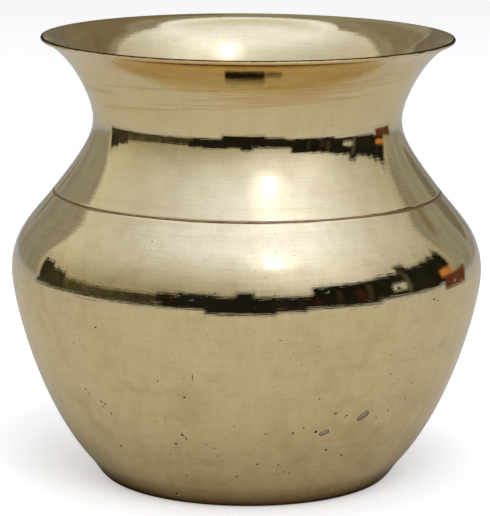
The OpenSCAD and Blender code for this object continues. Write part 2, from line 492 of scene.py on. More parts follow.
def buildHairlines():
    # thin scratches from cloths and handling, in a few crossing directions
    tree, given, result = newTree("hairlines", "ShaderNodeTree", [
        ["Place", "Vector", None], ["Length", "Float", 0.012], ["Seed", "Float", 0.0]], [["Mask", "Float"]])
    marks = []
    for k, (tilt, stretch) in enumerate(((0.5, 30.0), (-0.7, 36.0), (1.3, 26.0))):
        turned = addNode(tree, "ShaderNodeVectorRotate", {"Vector": given["Place"], "Angle": tilt,
                                                        "Axis": (0.4, 0.9 - 0.8 * k, 0.3)},
                         rotation_type="AXIS_ANGLE")
        long = doVector(tree, "DIVIDE", turned.outputs[0], given["Length"])
        thin = doVector(tree, "MULTIPLY", long, (1.0, stretch * 0.8, stretch))
        marks.append(ramp(tree, noise(tree, thin, 1.0, doMath(tree, "ADD", given["Seed"], 3.0 * k), 1.0),
                          [(0.70, 0.0), (0.74, 1.0)]))
    tree.links.new(doMath(tree, "MAXIMUM", doMath(tree, "MAXIMUM", marks[0], marks[1]), marks[2]),
                   result["Mask"])
    return tree


toolLines, tarnish, hairlines = buildToolLines(), buildTarnish(), buildHairlines()


def useGroup(tree, group, links):
    node = tree.nodes.new("ShaderNodeGroup")
    node.node_tree = group
    for key, value in links.items():
        if isinstance(value, bpy.types.NodeSocket):
            tree.links.new(value, node.inputs[key])
        else:
            node.inputs[key].default_value = value
    return node.outputs


def newMaterial(name, settings):
    material = bpy.data.materials.new(name)
    material.use_nodes = True
    tree = material.node_tree
    surface = tree.nodes["Principled BSDF"]
    for key, value in settings.items():
        surface.inputs[key].default_value = value
    material.diffuse_color = tuple(surface.inputs["Base Color"].default_value)
    return material, tree, surface


def buildBrass(name, look):
    material, tree, surface = newMaterial(name, {"Metallic": 1.0, "Anisotropic": 0.0})
    place = objectPlace(tree)
    along = addNode(tree, "ShaderNodeAttribute", attribute_name="along").outputs["Fac"]
    lines = useGroup(tree, toolLines, {"Along": along, "Place": place, "Seed": look["seed"],
                                       "Lines per Metre": 1000.0 / look["lineSpacing"],
                                       "Stroke Width": look["strokeWidth"],
                                       "Stroke Length": look["strokeLength"]})
    oxide = useGroup(tree, tarnish, {"Place": place, "Size": look["cloudSize"], "Seed": look["seed"]})
    scratch = useGroup(tree, hairlines, {"Place": place, "Seed": look["seed"]})["Mask"]
    height = axisOf(tree, place)

    def tint(colour, mask, amount, other):
        # covers part of the colour so far with another one
        return mixColour(tree, doMath(tree, "MULTIPLY", mask, look[amount]), colour, look[other])

    low = mapRange(tree, height, look["wearTop"], look["wearTop"] - 0.03, 0.35, 1.0)
    clouds = doMath(tree, "MULTIPLY", oxide["Clouds"], low)
    colour = tint(look["colour"], clouds, "cloudAmount", "oxideColour")
    colour = tint(colour, oxide["Drips"], "dripAmount", "oxideColour")
    # thin brown dashes follow the lathe lines, and a woven grain covers everything
    dashes = ramp(tree, lines["Mask"], [(0.30, 0.0), (0.44, 1.0)])
    colour = tint(colour, dashes, "lineTone", "oxideColour")
    woven = doMath(tree, "MULTIPLY_ADD", lines["Height"], 0.6,
                   doMath(tree, "MULTIPLY", lines["Strokes"], 0.4))
    grain = ramp(tree, woven, [(0.38, 1.0), (0.6, 0.0)])
    colour = tint(colour, grain, "grainTone", "grainColour")
    # small brown spots lie in the grain
    spots = useGroup(tree, tarnish, {"Place": place, "Size": look["spotSize"],
                                     "Seed": look["seed"] + 4.0})["Clouds"]
    spots = doMath(tree, "MULTIPLY", spots, doMath(tree, "MULTIPLY_ADD", grain, 0.7, 0.3))
    colour = tint(colour, spots, "spotAmount", "oxideColour")
    # dark marks lie askew where the tool slipped
    askewLow, askewHigh, tilt, spacing = look["askewMarks"]
    edge = look["askewEdge"]
    askew = doMath(tree, "SUBTRACT", height, doMath(tree, "MULTIPLY", axisOf(tree, place, "X"), tilt))
    slips = useGroup(tree, toolLines, {"Along": askew, "Place": place, "Seed": look["seed"] + 20,
                                       "Break Up": 25.0,
                                       "Lines per Metre": 1000.0 / spacing})
    band = doMath(tree, "MULTIPLY", mapRange(tree, askew, askewLow, askewLow + edge),
                  mapRange(tree, askew, askewHigh, askewHigh - edge))
    slip = doMath(tree, "MULTIPLY", ramp(tree, slips["Mask"], [(0.31, 0.0), (0.37, 1.0)]), band)
    colour = tint(colour, slip, "askewTone", "askewColour")
    # painted reflection: a warm tint on the side facing the front, standing in for the brass reflecting itself
    # under the flare; on the bowl it is weak and grows towards the foot as painted shade
    tintTurn, tintWidth, tintLow, tintHigh = look["paintedTintPlace"]
    flat = doVector(tree, "NORMALIZE", doVector(tree, "MULTIPLY", place, (1, 1, 0)))
    apart = doMath(tree, "ARCCOSINE", doVector(tree, "DOT_PRODUCT", flat, (
        math.sin(math.radians(tintTurn)), -math.cos(math.radians(tintTurn)), 0.0)))
    paintedTint = ramp(tree, doMath(tree, "DIVIDE", apart, math.radians(tintWidth) * 2), [(0.3, 1.0), (0.5, 0.0)])
    rise = mapRange(tree, height, tintLow, tintHigh)
    mottle = noise(tree, doVector(tree, "MULTIPLY", place, (1, 1, 3)), 160.0, 6.0, 4.0)
    mottle = ramp(tree, mottle, [(0.3, 0.55), (0.6, 1.0)])
    paintedTint = doMath(tree, "MULTIPLY", doMath(tree, "MULTIPLY", paintedTint, rise), mottle)
    colour = tint(colour, paintedTint, "paintedTintAmount", "paintedTintColour")
    colour = tint(colour, oxide["Freckles"], "freckleAmount", "freckleColour")
    # painted shade: a dark ring on the outside only, a painted dark reflection on the lip's top and painted shade
    # round the foot
    shadeRingLow, shadeRingHigh, shadeRingSoft = look["paintedShadeRing"]
    uneven = doMath(tree, "MULTIPLY", doMath(tree, "SUBTRACT", noise(tree, place, 700.0, 5.0), 0.5),
                    look["paintedShadeUneven"])
    level = doMath(tree, "ADD", height, uneven)
    ring = doMath(tree, "MULTIPLY", mapRange(tree, level, shadeRingLow - shadeRingSoft, shadeRingLow + shadeRingSoft),
                  mapRange(tree, level, shadeRingHigh + shadeRingSoft, shadeRingHigh - shadeRingSoft))
    share = addNode(tree, "ShaderNodeAttribute", attribute_name="share").outputs["Fac"]
    outside = doMath(tree, "GREATER_THAN", share, 0.95)
    paintedShade = doMath(tree, "MULTIPLY", doMath(tree, "MULTIPLY", ring, outside), look["paintedShadeAmount"])
    colour = mixColour(tree, paintedShade, colour, look["paintedShadeColour"])
    tree.links.new(colour, surface.inputs["Base Color"])
    # the painted shade also darkens the tint of the reflection
    tree.links.new(mixColour(tree, paintedShade, (1.0, 1.0, 1.0), look["paintedShadeColour"]),
                   surface.inputs["Specular Tint"])
    rough = doMath(tree, "MULTIPLY_ADD", lines["Mask"], look["lineRough"], look["roughness"])
    rough = doMath(tree, "MULTIPLY_ADD", clouds, look["cloudRough"], rough)
    rough = doMath(tree, "MULTIPLY_ADD", oxide["Freckles"], look["freckleRough"], rough)
    rough = doMath(tree, "MULTIPLY_ADD", paintedShade, look["paintedShadeRough"], rough)
    rough = doMath(tree, "MULTIPLY_ADD", scratch, look["scratchRough"], rough, clamp=True)
    tree.links.new(rough, surface.inputs["Roughness"])
    fine = addNode(tree, "ShaderNodeBump", {"Height": lines["Height"], "Distance": look["lineDepth"],
                                            "Strength": 1.0})
    upright = addNode(tree, "ShaderNodeBump", {"Height": lines["Strokes"], "Distance": look["strokeDepth"],
                                               "Strength": 1.0, "Normal": fine.outputs["Normal"]})
    marks = addNode(tree, "ShaderNodeBump", {"Height": scratch, "Distance": look["scratchDepth"],
                                             "Strength": 1.0,
                                             "Normal": upright.outputs["Normal"]}, invert=True)
    tree.links.new(marks.outputs["Normal"], surface.inputs["Normal"])
    return material


commonLook = {
    "colour": (0.865, 0.75, 0.455), "grainTone": 0.5, "lineTone": 0.35, "roughness": 0.012,
    "freckleRough": 0.25,
    "paintedShadeRough": 0.3, "askewEdge": 0.002, "lineSpacing": 0.5, "lineDepth": 0.000022, "strokeWidth": 0.00045,
    "strokeDepth": 0.000003,
}
# askewMarks are low and high edge, tilt, and spacing in millimetres; paintedTintPlace is turn and width in
# degrees, then the heights where the painted tint begins and is full; paintedShadeRing is low and high edge and
# how softly they end
upperLook = commonLook | {
    "oxideColour": (0.52, 0.35, 0.15), "freckleColour": (0.16, 0.1, 0.05),
    "grainColour": (0.74, 0.62, 0.34),
    "lineRough": 0.035, "cloudRough": 0.04, "scratchRough": 0.04,
    "strokeLength": 0.009,
    "scratchDepth": 0.0000012, "cloudSize": 0.016, "cloudAmount": 0.3, "dripAmount": 0.12,
    "freckleAmount": 0.3,
    "wearTop": 0.09, "seed": 3.0, "spotSize": 0.006, "spotAmount": 0.16,
    "askewMarks": (0.0945, 0.1045, 0.055, 1.1), "askewTone": 0.5,
    # painted amber reflection on the front of the flare's underside, in the tint values below
    "askewColour": (0.66, 0.42, 0.15), "paintedTintPlace": (0.0, 48.0, 0.1035, 0.1055), "paintedTintAmount": 0.62,
    "paintedTintColour": (0.7, 0.42, 0.13),
    # painted dark reflection on the outside of the lip's top
    "paintedShadeRing": (0.10932, 0.12, 0.00008), "paintedShadeUneven": 0.0004, "paintedShadeAmount": 0.95,
    "paintedShadeColour": (0.06, 0.024, 0.012),
}
bowlLook = commonLook | {
    "oxideColour": (0.52, 0.36, 0.16), "freckleColour": (0.14, 0.09, 0.05),
    "grainColour": (0.72, 0.6, 0.34),
    "lineRough": 0.04, "cloudRough": 0.06, "scratchRough": 0.05,
    "strokeLength": 0.008,
    "scratchDepth": 0.0000014, "cloudSize": 0.012, "cloudAmount": 0.42, "dripAmount": 0.16,
    "freckleAmount": 0.5,
    "wearTop": 0.05, "seed": 11.0, "spotSize": 0.0045, "spotAmount": 0.27,
    "askewMarks": (0.0, 0.004, 0.0, 1.0), "askewTone": 0.0,
    # a weak painted shade at the front of the bowl, darker towards the foot
    "askewColour": (0.5, 0.3, 0.1), "paintedTintPlace": (8.0, 40.0, 0.045, 0.012), "paintedTintAmount": 0.16,
    "paintedTintColour": (0.6, 0.42, 0.17),
    # painted shade round the foot
    "paintedShadeRing": (-0.02, 0.003, 0.0028), "paintedShadeUneven": 0.002, "paintedShadeAmount": 0.9,
    "paintedShadeColour": (0.16, 0.08, 0.03),
}


def buildDull(name, look):
    # small parts: braze, solder and the black oxide inside pores
    material, tree, surface = newMaterial(name, {"Metallic": look["metallic"]})
    place = objectPlace(tree)
    grain = noise(tree, place, 1.0 / look["grain"], look["seed"], 4.0, 0.6)
    oxide = useGroup(tree, tarnish, {"Place": place, "Size": look["grain"] * 4, "Seed": look["seed"]})
    colour = mixColour(tree, ramp(tree, grain, [(0.35, 0.0), (0.65, 1.0)]), look["colour"],
                       look["otherColour"])
    colour = mixColour(tree, doMath(tree, "MULTIPLY", oxide["Clouds"], 0.5), colour, look["darkColour"])
    tree.links.new(colour, surface.inputs["Base Color"])
    rough = doMath(tree, "MULTIPLY_ADD", grain, look["roughRange"],
                   look["roughness"] - look["roughRange"] / 2, clamp=True)
    tree.links.new(rough, surface.inputs["Roughness"])
    bump = addNode(tree, "ShaderNodeBump", {"Height": grain, "Distance": look["depth"], "Strength": 1.0})
    tree.links.new(bump.outputs["Normal"], surface.inputs["Normal"])
    return material


brazeLook = {
    "colour": (0.38, 0.22, 0.125), "otherColour": (0.28, 0.155, 0.085), "darkColour": (0.09, 0.045, 0.025),
    "metallic": 0.9, "roughness": 0.3, "roughRange": 0.2, "grain": 0.0012, "depth": 0.000004, "seed": 5.0,
}
solderLook = {
    "colour": (0.6, 0.48, 0.43), "otherColour": (0.42, 0.33, 0.29), "darkColour": (0.14, 0.11, 0.09),
    "metallic": 0.6, "roughness": 0.5, "roughRange": 0.3, "grain": 0.00035, "depth": 0.00002, "seed": 8.0,
}
poreLook = {
    "colour": (0.08, 0.05, 0.028), "otherColour": (0.04, 0.026, 0.016), "darkColour": (0.01, 0.008, 0.006),
    "metallic": 0.3, "roughness": 0.75, "roughRange": 0.2, "grain": 0.0002, "depth": 0.00001, "seed": 2.0,
}
upperBrass, bowlBrass = buildBrass("polishedBrass", upperLook), buildBrass("castBrass", bowlLook)
brazeMetal, solderMetal = buildDull("brazeAlloy", brazeLook), buildDull("softSolder", solderLook)
poreMetal = buildDull("poreOxide", poreLook)
print("materials", len(bpy.data.materials))


# the turned pieces

upperShell = {
    "steps": (0.00045, 0.0009), "shares": (1.0, 0.6), "stepsAround": 240,
    "rippleDepth": 0.0000012, "rippleSpacing": 0.0016, "wobbleDepth": 0.000012, "wobbleSize": 0.03,
    "seed": 1.0,
    # height, depth and half width of two deeper tool marks near the mouth
    "grooves": ((0.1018, 0.000012, 0.00014), (0.0965, 0.000008, 0.00012)),
    "askew": {"Tilted Depth": 0.00002, "Tilted Spacing": 0.0018, "Tilt": 0.055, "Tilted Low": 0.0955,
              "Tilted High": 0.1035},
    "metal": upperBrass,
}
lowerBowl = {
    "steps": (0.00055, 0.002), "shares": (1.0, 0.5), "stepsAround": 240,
    "rippleDepth": 0.0000012, "rippleSpacing": 0.0014, "wobbleDepth": 0.000014, "wobbleSize": 0.028,
    "seed": 2.0,
    "metal": bowlBrass,
}
seamBraze = {
    "steps": (0.00012, 0.00035), "shares": (1.0, 1.0), "stepsAround": 240,
    "rippleDepth": 0.000002, "rippleSpacing": 0.0006, "wobbleDepth": 0.000012, "wobbleSize": 0.004,
    "seed": 3.0,
    "metal": brazeMetal,
}
shell = turnPiece("upperShell", "upper_shell", upperShell)
braze = turnPiece("seamBraze", "seam_braze", seamBraze)
plainBowl = turnPiece("plainBowl", "lower_bowl", lowerBowl)
print("turned pieces", len(shell.data.polygons), len(braze.data.polygons), len(plainBowl.data.polygons))


# casting pores and the dark gaps round the solder plugs

# turn about the axis in degrees, height, length, width and depth in millimetres, tilt in degrees
pickedPores = [
    (-70.5, 21.6, 0.95, 0.62, 0.3, 35), (-110, 18.2, 0.75, 0.5, 0.25, 10),
    (-107.5, 20.6, 1.1, 0.42, 0.2, -40),
    (-106.6, 20.0, 0.9, 0.3, 0.15, -55), (-101, 18.4, 0.5, 0.3, 0.15, 0), (-116, 2.8, 1.3, 0.7, 0.3, 10),
    (-103, 36.0, 1.9, 0.2, 0.15, 88), (-105.5, 31.0, 0.6, 0.5, 0.25, 20), (-131.5, 26.8, 1.0, 0.35, 0.2, -60),
    (-130.3, 26.2, 1.2, 0.3, 0.2, -50), (-131.3, 25.4, 0.5, 0.4, 0.2, 0), (-129, 24.0, 0.8, 0.28, 0.2, 80),
    (-62.2, 25.3, 0.6, 0.4, 0.2, 20), (-65.8, 26.0, 0.8, 0.42, 0.2, 0), (-49.2, 27.5, 0.5, 0.32, 0.18, 0),
    (-48.4, 24.9, 1.1, 0.24, 0.15, 85), (-52, 23.6, 0.45, 0.38, 0.2, 0), (-71, 30.3, 0.5, 0.36, 0.18, 0),
    (-77, 21.7, 0.8, 0.4, 0.2, 60), (-74.2, 23.0, 0.5, 0.36, 0.16, 0), (-66, 16.2, 0.9, 0.5, 0.2, 30),
    (-60, 14.2, 0.6, 0.4, 0.2, 20), (-84.5, 21.7, 0.45, 0.4, 0.16, 0), (-86.5, 13.4, 0.5, 0.42, 0.2, 0),
    (-78, 10.7, 0.5, 0.36, 0.2, 0), (-76, 10.2, 0.4, 0.34, 0.18, 0), (-92.7, 9.5, 0.5, 0.42, 0.2, 0),
    (-98, 15.5, 0.5, 0.3, 0.15, 20), (-99.2, 17.5, 0.4, 0.3, 0.15, 0), (-112.7, 14.8, 0.6, 0.3, 0.15, 40),
    (-130, 14.8, 0.6, 0.5, 0.2, 0), (-40.3, 51.7, 0.8, 0.5, 0.25, 0), (-38.8, 51.2, 0.5, 0.4, 0.2, 0),
    (-51.2, 34.5, 0.45, 0.36, 0.15, 0), (-42, 31.0, 0.5, 0.3, 0.15, 50), (-39, 26.8, 0.45, 0.3, 0.15, 0),
    (-115, 67.0, 0.4, 0.3, 0.12, 0), (-55.5, 3.6, 0.7, 0.35, 0.2, 80), (-82, 46.0, 1.0, 0.18, 0.1, 4),
]
poreValues = {
    "Amount": 9000.0, "Smallest": 0.00007, "Largest": 0.0002, "Lowest": 0.0015, "Highest": 0.066,
    "Seed": 21, "Roughness": 0.00005, "Thinning Height": 0.045,
}


def buildPoreTree():
    tree, given, result = newTree("castingPores", "GeometryNodeTree", [
        ["Body", "Geometry", None], ["Picked", "Object", None], ["Gaps", "Object", None],
        ["Amount", "Float", 9000.0],
        ["Smallest", "Float", 0.0001], ["Largest", "Float", 0.0002], ["Lowest", "Float", 0.0],
        ["Highest", "Float", 0.1],
        ["Thinning Height", "Float", 0.04], ["Roughness", "Float", 0.00005], ["Seed", "Int", 0],
        ["Pore Metal", "Material", None]], [["Mesh", "Geometry"]])
    height, share = axisOf(tree, pointPlace(tree)), stored(tree, "share")
    inside = doMath(tree, "MULTIPLY", doMath(tree, "GREATER_THAN", height, given["Lowest"]),
                    doMath(tree, "LESS_THAN", height, given["Highest"]))
    inside = doMath(tree, "MULTIPLY", inside, doMath(tree, "GREATER_THAN", share, 0.9))
    fade = mapRange(tree, height, given["Thinning Height"], given["Highest"], 1.0, 0.12)
    spread = addNode(tree, "GeometryNodeDistributePointsOnFaces", {
        "Mesh": given["Body"], "Selection": inside, "Seed": given["Seed"],
        "Density": doMath(tree, "MULTIPLY", given["Amount"], fade)})
    pore = addNode(tree, "GeometryNodeMeshIcoSphere", {"Radius": 1.0, "Subdivisions": 2}).outputs["Mesh"]

    def chance(low, high, seed):
        node = addNode(tree, "FunctionNodeRandomValue", {"Min": low, "Max": high, "Seed": seed},
                       data_type="FLOAT")
        return node.outputs["Value"]

    wide = doMath(tree, "MULTIPLY_ADD", doMath(tree, "POWER", chance(0.0, 1.0, 1), 2.5),
                  doMath(tree, "SUBTRACT", given["Largest"], given["Smallest"]), given["Smallest"])
    size = addNode(tree, "ShaderNodeCombineXYZ", {
        "X": doMath(tree, "MULTIPLY", wide, chance(0.8, 1.9, 2)), "Y": wide,
        "Z": doMath(tree, "MULTIPLY", wide, 0.8)})
    spin = alongZ(tree, chance(0.0, 3.14, 3))
    turnedRound = addNode(tree, "FunctionNodeRotateRotation", {
        "Rotation": spread.outputs["Rotation"], "Rotate By": spin}, rotation_space="LOCAL")
    scattered = addNode(tree, "GeometryNodeInstanceOnPoints", {
        "Points": spread.outputs["Points"], "Instance": pore, "Rotation": turnedRound.outputs[0],
        "Scale": size.outputs[0]})

    picked = addNode(tree, "GeometryNodeObjectInfo", {"Object": given["Picked"]}).outputs["Geometry"]
    standing = addNode(tree, "FunctionNodeAlignRotationToVector",
                       {"Vector": stored(tree, "facing", "FLOAT_VECTOR")}, axis="Z")
    standing = addNode(tree, "FunctionNodeAlignRotationToVector", {
        "Rotation": standing.outputs[0], "Vector": stored(tree, "lying", "FLOAT_VECTOR")}, axis="X",
                       pivot_axis="Z")
    chosen = addNode(tree, "GeometryNodeInstanceOnPoints", {
        "Points": picked, "Instance": pore, "Rotation": standing.outputs[0],
        "Scale": stored(tree, "size", "FLOAT_VECTOR")})
    cutters = join(tree, scattered.outputs["Instances"], chosen.outputs["Instances"])
    cutters = passOn(tree, "RealizeInstances", cutters)
    place = pointPlace(tree)
    bumps = addNode(tree, "ShaderNodeTexNoise", {"Vector": place, "Scale": 3500.0,
                                                 "Detail": 1.0}).outputs["Color"]
    shift = doVector(tree, "SCALE", doVector(tree, "SUBTRACT", bumps, (0.5, 0.5, 0.5)),
                     scale=doMath(tree, "MULTIPLY", given["Roughness"], 4.0))
    cutters = passOn(tree, "SetPosition", cutters, {"Offset": shift})
    gaps = addNode(tree, "GeometryNodeObjectInfo", {"Object": given["Gaps"]}).outputs["Geometry"]
    cutters = passOn(tree, "SetMaterial", join(tree, cutters, gaps), {"Material": given["Pore Metal"]})
    cut = addNode(tree, "GeometryNodeMeshBoolean", {"Mesh 1": given["Body"], "Mesh 2": cutters},
                  operation="DIFFERENCE", solver="MANIFOLD")
    whole = passOn(tree, "RealizeInstances", cut.outputs["Mesh"])
    inPores = addNode(tree, "GeometryNodeMaterialSelection",
                      {"Material": given["Pore Metal"]}).outputs["Selection"]
    whole = passOn(tree, "SetMaterial", whole, {"Selection": inPores, "Material": given["Pore Metal"]})
    tree.links.new(whole, result["Mesh"])
    return tree


def pickedPoreObject(name, pores, nodeName):
    # one point per picked pore, with its facing, the way it lies and its size
    section, facings, _, peak, _ = smoothSection(nodeName, (0.0005, 0.002))
    heights = [section[i].y for i in range(peak + 1)]
    start = next(i for i in range(peak + 1) if section[i].x > 0.03 and facings[i].x > 0.5)
    spots, faced, lying, sizes = [], [], [], []
    for turn, z, long, wide, deep, tilt in pores:
        i = start + int(np.argmin([abs(h - z * millimetre) for h in heights[start:]]))
        radial = Vector((math.cos(math.radians(turn)), math.sin(math.radians(turn)), 0))
        facing = radial * facings[i].x + Vector((0, 0, facings[i].y))
        level = Vector((-radial.y, radial.x, 0))
        up = facing.cross(level)
        spots.append(tuple(radial * section[i].x + Vector((0, 0, section[i].y))))
        faced.append(tuple(facing))
        lying.append(tuple(level * math.cos(math.radians(tilt)) + up * math.sin(math.radians(tilt))))
        sizes.append((long * millimetre / 2, wide * millimetre / 2, deep * millimetre))
    mesh = bpy.data.meshes.new(name)
    mesh.from_pydata(spots, [], [])
    for label, rows in (("facing", faced), ("lying", lying), ("size", sizes)):
        mesh.attributes.new(label, "FLOAT_VECTOR", "POINT").data.foreach_set("vector", np.ravel(rows))
    holder = bpy.data.objects.new(name, mesh)
    bpy.context.scene.collection.objects.link(holder)
    return holder


plugValues = {"grainSize": 0.00009, "sink": 0.00004, "gap": 0.00011, "lumpHeight": 0.00007,
              "lumpSize": 0.0006}


def buildPlugTree():
    # rebuilds the plugs from small cells, then swells or shrinks them and makes them lumpy
    tree, given, result = newTree("solderPlugs", "GeometryNodeTree", [
        ["Body", "Geometry", None], ["Grain Size", "Float", 0.0001], ["Swell", "Float", 0.0],
        ["Lump Height", "Float", 0.0], ["Lump Size", "Float", 0.001], ["Metal", "Material", None]],
                                  [["Mesh", "Geometry"]])
    cells = addNode(tree, "GeometryNodeMeshToSDFGrid",
                    {"Mesh": given["Body"], "Voxel Size": given["Grain Size"]})
    skin = addNode(tree, "GeometryNodeGridToMesh", {"Grid": cells.outputs[0], "Threshold": given["Swell"]})
    place = pointPlace(tree)
    lumps = addNode(tree, "ShaderNodeTexNoise", {
        "Vector": doVector(tree, "SCALE", place, scale=doMath(tree, "DIVIDE", 1.0, given["Lump Size"])),
        "Scale": 1.0, "Detail": 3.0}).outputs["Fac"]
    push = doMath(tree, "MULTIPLY", doMath(tree, "SUBTRACT", lumps, 0.75), given["Lump Height"])
    offset = doVector(tree, "SCALE", addNode(tree, "GeometryNodeInputNormal").outputs[0], scale=push)
    shape = passOn(tree, "SetPosition", skin.outputs[0], {"Offset": offset})
    shape = passOn(tree, "SetShadeSmooth", shape, {"Shade Smooth": True})
    shape = passOn(tree, "RealizeInstances", shape)
    shape = passOn(tree, "SetMaterial", shape, {"Material": given["Metal"]})
    tree.links.new(shape, result["Mesh"])
    return tree


def mergedCopy(nodeName):
    mesh = bpy.data.meshes.new(nodeName + "Copy")
    merged = bmesh.new()
    merged.from_mesh(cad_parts[nodeName].data)
    bmesh.ops.remove_doubles(merged, verts=merged.verts, dist=sectionValues["weld"])
    merged.to_mesh(mesh)
    merged.free()
    return mesh


plugTree = buildPlugTree()
plugInputs = {"Grain Size": plugValues["grainSize"], "Lump Size": plugValues["lumpSize"],
              "Metal": solderMetal}
plugs = runTree(mergedCopy("blowhole_solder"), plugTree, plugInputs | {
    "Swell": -plugValues["sink"], "Lump Height": plugValues["lumpHeight"]}, "solderPlugs")
gaps = runTree(mergedCopy("blowhole_solder"), plugTree, plugInputs | {
    "Swell": plugValues["gap"], "Metal": poreMetal}, "plugGaps")
picked = pickedPoreObject("pickedPores", pickedPores, "lower_bowl")
bowl = runTree(plainBowl.data, buildPoreTree(), poreValues | {
    "Picked": picked, "Gaps": gaps, "Pore Metal": poreMetal}, "lowerBowl")
bowl.data.set_sharp_from_angle(angle=sharpAngle)
for helper in (picked, gaps, plainBowl):
    bpy.data.objects.remove(helper)
print("bowl with pores", len(bowl.data.polygons), "plugs", len(plugs.data.polygons))


# what each piece stands for
for piece, nodeName, slotName in ((shell, "upper_shell", "polished_brass"),
                                  (bowl, "lower_bowl", "cast_brass"),
                                  (braze, "seam_braze", "braze"), (plugs, "blowhole_solder", "solder")):
    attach(piece, "root")
    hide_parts(nodeName)


# the stage: a pale floor that the camera sees, and a sky, cards and ground that only the metal mirrors

stageValues = {
    "cardReach": 1.6, "skyReach": 3.2, "floorReach": 1.62,
    # height angle in degrees, with the brightness and the tint of the sky there
    "skySteps": ((0, 0.34), (16, 0.37), (24, 0.43), (31, 0.48), (38, 0.56), (52, 0.73), (59, 0.9), (66, 1.09),
                 (90, 1.08)),
    "skyTints": ((10, (1.08, 1.0, 0.78)), (24, (1.04, 1.0, 0.88)), (38, (1.0, 1.0, 1.0)),
                 (52, (0.97, 1.0, 1.14)),
                 (66, (0.94, 1.0, 1.32))),
    # where each wide glow lies, how it fades sideways and upwards, and its tint
    "glows": (
        (35, ((0, 1.0), (16, 0.94), (26, 0.68), (40, 0.35), (56, 0.17), (75, 0.05), (92, 0.0)),
         ((4, 0.06), (14, 0.2), (24, 0.34), (35, 0.4), (60, 0.38), (68, 0.18), (80, 0.0)), (0.92, 1.0, 1.4)),
        (-120, ((0, 1.0), (15, 0.9), (30, 0.45), (50, 0.0)), ((6, 0.04), (20, 0.15), (34, 0.16), (48, 0.0)),
         (1.0, 1.0, 0.95))),
    "backTint": (0.72, 0.68, 0.56), "lampTurn": 20.0, "lampRise": 57.0, "lampColour": (3.0, 3.1, 4.0),
    "haloSteps": ((0.0, 1.0), (0.04, 0.85), (0.075, 0.2), (0.2, 0.0)),
    "floorTone": (0.62, 0.575, 0.475), "floorFarTone": (0.6, 0.62, 0.64), "floorWhite": (0.84, 0.83, 0.8),
    "floorLift": 0.45,
    "floorFade": (0.2, 0.9), "cloudSize": 0.8,
    "frontLight": 6.8, "topLight": 2.4, "lightReach": 0.9, "groundHeight": 0.0008,
}


def aim(turn, rise):
    # turn 0 faces the front of the pot and grows to its right
    turn, rise = math.radians(turn), math.radians(rise)
    return Vector((math.sin(turn) * math.cos(rise), -math.cos(turn) * math.cos(rise), math.sin(rise)))


def stagePiece(name, points, faces, material, hidden=True):
    mesh = bpy.data.meshes.new(name)
    mesh.from_pydata([tuple(p) for p in points], [], faces)
    mesh.materials.append(material)
    piece = bpy.data.objects.new(name, mesh)
    bpy.context.scene.collection.objects.link(piece)
    piece.visible_camera = not hidden
    return piece


def emptyMaterial(name):
    material = bpy.data.materials.new(name)
    material.use_nodes = True
    material.node_tree.nodes.clear()
    return material, material.node_tree


def showShader(tree, shader):
    tree.links.new(shader.outputs[0], addNode(tree, "ShaderNodeOutputMaterial").inputs["Surface"])


def glowMaterial(name, colour, patch):
    # light of one colour, patchy so that it doesn't look like a plain card
    material, tree = emptyMaterial(name)
    long = doVector(tree, "MULTIPLY", objectPlace(tree), (1.0, 1.0, 0.35))
    level = ramp(tree, noise(tree, long, 7.0, 1.0, 3.0), [(0.35, 1.0 - patch), (0.65, 1.0 + patch)])
    showShader(tree, addNode(tree, "ShaderNodeEmission", {
        "Color": tuple(colour) + (1,), "Strength": level}))
    return material


def skyMaterial():
    # a warm horizon that turns blue upwards, a wide glow to the right and a small halo round the lamp
    material, tree = emptyMaterial("sky")
    place = objectPlace(tree)
    way = doVector(tree, "NORMALIZE", doVector(tree, "SUBTRACT", place, tuple(potMiddle)))
    rise = axisOf(tree, way)
    level = doVector(tree, "NORMALIZE", doVector(tree, "MULTIPLY", way, (1, 1, 0)))

    def byRise(steps):
        return ramp(tree, rise, [(math.sin(math.radians(angle)), value) for angle, value in steps])

    def byTurn(turn, steps):
        apart = doMath(tree, "ARCCOSINE", doVector(tree, "DOT_PRODUCT", level, tuple(aim(turn, 0))))
        return ramp(tree, doMath(tree, "DIVIDE", apart, math.pi),
                    [(angle / 180, value) for angle, value in steps])

    colour = mixColour(tree, 1.0, byRise(stageValues["skySteps"]), byRise(stageValues["skyTints"]),
                       "MULTIPLY")
    for turn, turnSteps, riseSteps, tint in stageValues["glows"]:
        glow = mixColour(tree, 1.0, byTurn(turn, turnSteps), byRise(riseSteps), "MULTIPLY")
        colour = mixColour(tree, 1.0, colour, mixColour(tree, 1.0, glow, tint, "MULTIPLY"), "ADD")
    clouds = ramp(tree, noise(tree, place, 1.0 / stageValues["cloudSize"], 4.0, 4.0),
                  [(0.35, 0.95), (0.65, 1.05)])
    colour = mixColour(tree, 1.0, colour, clouds, "MULTIPLY")
    behind = mapRange(tree, axisOf(tree, way, "Y"), -0.1, 0.2)
    behind = doMath(tree, "MULTIPLY", behind, byRise(((66, 0.0), (76, 1.0))))
    colour = mixColour(tree, behind, colour, mixColour(tree, 1.0, colour, stageValues["backTint"],
                                                       "MULTIPLY"))
    toLamp = doVector(tree, "DOT_PRODUCT", way, tuple(aim(stageValues["lampTurn"], stageValues["lampRise"])))
    halo = ramp(tree, doMath(tree, "ARCCOSINE", toLamp), stageValues["haloSteps"])
    colour = mixColour(tree, halo, colour, stageValues["lampColour"])
    showShader(tree, addNode(tree, "ShaderNodeEmission", {"Color": colour, "Strength": 1.0}))
    return material


